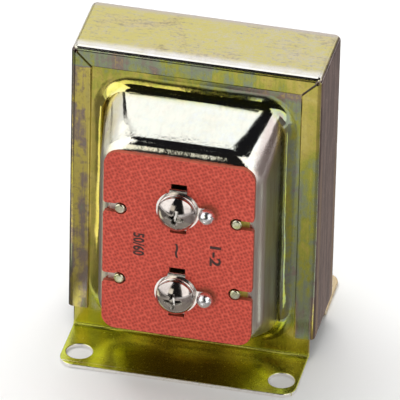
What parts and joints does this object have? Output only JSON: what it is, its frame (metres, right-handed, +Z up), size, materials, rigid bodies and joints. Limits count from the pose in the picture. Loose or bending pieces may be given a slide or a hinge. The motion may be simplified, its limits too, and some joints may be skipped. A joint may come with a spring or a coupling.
{
  "type": "low voltage transformer",
  "caption": "Small steel-cased transformer on bent feet, with a drawn front cover that carries a red fibre terminal board with screw terminals.",
  "frame": {"origin": "centre of the four foot holes, on the mounting plane under the feet", "axes": "+Z up from the mounting plane, -Y out of the terminal board (front), +X to the viewer's right"},
  "size_m": [0.0496, 0.0482, 0.0654],
  "materials": {
    "chromate_steel": "yellow chromate over zinc, satin",
    "red_fibre": "pebbled vulcanised fibre",
    "nickel_steel": "bright nickel plate",
    "solder": "bright solder",
    "core_steel": "varnished laminations",
    "nylon": "moulded",
    "magnet_wire": "enamelled copper",
    "coil_tape": "polyester tape"
  },
  "bodies": {
    "case": {"channel_frame": "chromate_steel", "front_cover": "chromate_steel", "rear_cover": "chromate_steel", "terminal_board": "red_fibre", "terminal_plate_upper": "nickel_steel", "terminal_plate_lower": "nickel_steel", "solder_joint_upper": "solder", "solder_joint_lower": "solder", "e_lamination_stack": "core_steel", "i_lamination_stack": "core_steel", "bobbin": "nylon", "primary_winding": "magnet_wire", "secondary_winding": "magnet_wire", "primary_wrap": "coil_tape", "secondary_wrap": "coil_tape", "secondary_lead_upper": "magnet_wire", "secondary_lead_lower": "magnet_wire"},
    "upper_washer": {"screw_washer_upper": "nickel_steel"},
    "upper_screw": {"terminal_screw_upper": "nickel_steel"},
    "lower_washer": {"screw_washer_lower": "nickel_steel"},
    "lower_screw": {"terminal_screw_lower": "nickel_steel"}
  },
  "joints": [
    {"name": "upper_screw_lift", "type": "slide", "parent": "case", "child": "upper_washer", "axis": [0, -1, 0], "range_m": [0, 0.00238]},
    {"name": "upper_screw_turn", "type": "hinge", "parent": "upper_washer", "child": "upper_screw", "pos_m": [0, -0.0235, 0.0403], "axis": [0, -1, 0], "range_deg": [0, 1080]},
    {"name": "lower_screw_lift", "type": "slide", "parent": "case", "child": "lower_washer", "axis": [0, -1, 0], "range_m": [0, 0.00238]},
    {"name": "lower_screw_turn", "type": "hinge", "parent": "lower_washer", "child": "lower_screw", "pos_m": [0, -0.0235, 0.0211], "axis": [0, -1, 0], "range_deg": [0, 1080]}
  ],
  "couplings": [
    {"joint": "upper_screw_turn", "follows": "upper_screw_lift", "rad_per_m": 7915.8},
    {"joint": "lower_screw_turn", "follows": "lower_screw_lift", "rad_per_m": 7915.8}
  ]
}
